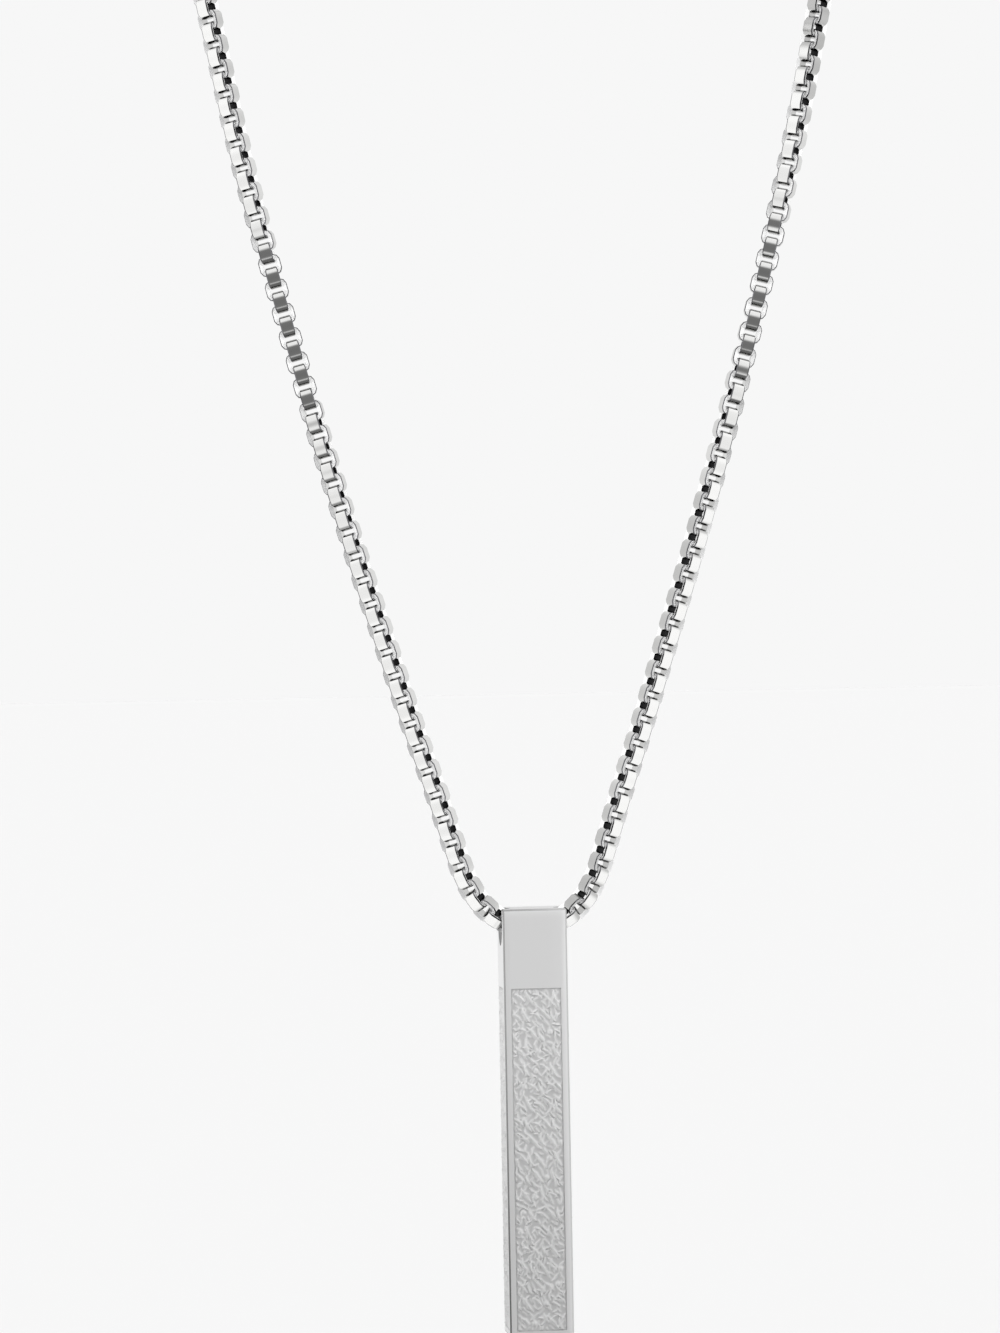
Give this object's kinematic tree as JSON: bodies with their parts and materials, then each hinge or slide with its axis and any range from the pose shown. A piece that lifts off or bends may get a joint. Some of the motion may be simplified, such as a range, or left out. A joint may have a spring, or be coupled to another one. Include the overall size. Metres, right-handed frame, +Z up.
{
  "type": "bar pendant on a chain",
  "caption": "Square steel bar pendant with raised relief, threaded on a round box chain necklace with a lobster clasp.",
  "frame": {"origin": "middle of the neck that the chain hangs round, level with the chain at the nape", "axes": "+Z up, -Y towards the viewer in front, +X to that viewer's right"},
  "size_m": [0.118, 0.1247, 0.2051],
  "materials": {
    "bar_steel": "polished cast steel",
    "chain_steel": "bright polish",
    "clasp_steel": "bright polish"
  },
  "bodies": {
    "necklace": {"chain": "chain_steel", "clasp": "clasp_steel", "clasp_ring": "clasp_steel", "end_ring": "clasp_steel"},
    "pendant": {"bar": "bar_steel"}
  },
  "joints": [
    {"name": "bar_swing", "type": "hinge", "parent": "necklace", "child": "pendant", "pos_m": [0, -0.06, -0.163], "axis": [1, 0, 0], "range_deg": [-90, 90]}
  ]
}
